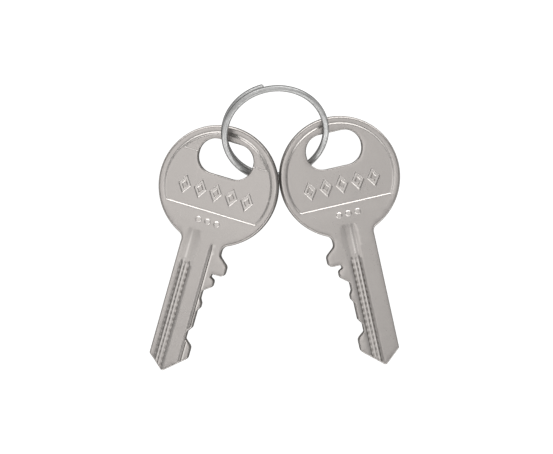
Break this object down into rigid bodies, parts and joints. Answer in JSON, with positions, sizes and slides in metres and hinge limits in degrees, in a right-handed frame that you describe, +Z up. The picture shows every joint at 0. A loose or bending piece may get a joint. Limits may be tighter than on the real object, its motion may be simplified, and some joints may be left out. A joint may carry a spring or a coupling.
{
  "type": "selector switch key set",
  "caption": "Flat cylinder keys for a selector key switch, with round heads and cut blades, hanging on a small overlapped spring-wire ring.",
  "frame": {"origin": "centre of the footprint of the set, on the table that the keys lie on", "axes": "+Z up from the table, +Y from the blades' tips towards the key heads and the ring, +X from the left key to the right key"},
  "size_m": [0.0462, 0.0528, 0.0105],
  "materials": {
    "key_plate": "satin nickel plated",
    "ring_wire": "bright nickel plated"
  },
  "bodies": {
    "key_ring": {"key_ring": "ring_wire"},
    "left_key": {"left_key": "key_plate"},
    "right_key": {"right_key": "key_plate"}
  },
  "joints": [
    {"name": "left_key_travel", "type": "hinge", "parent": "key_ring", "child": "left_key", "pos_m": [0.0001, 0.01749, 0.00526], "axis": [-0.0872, 0.4537, -0.8869], "range_deg": [0, 70]},
    {"name": "right_key_travel", "type": "hinge", "parent": "key_ring", "child": "right_key", "pos_m": [0.0001, 0.01749, 0.00526], "axis": [0.0871, -0.4929, 0.8657], "range_deg": [0, 70]}
  ]
}
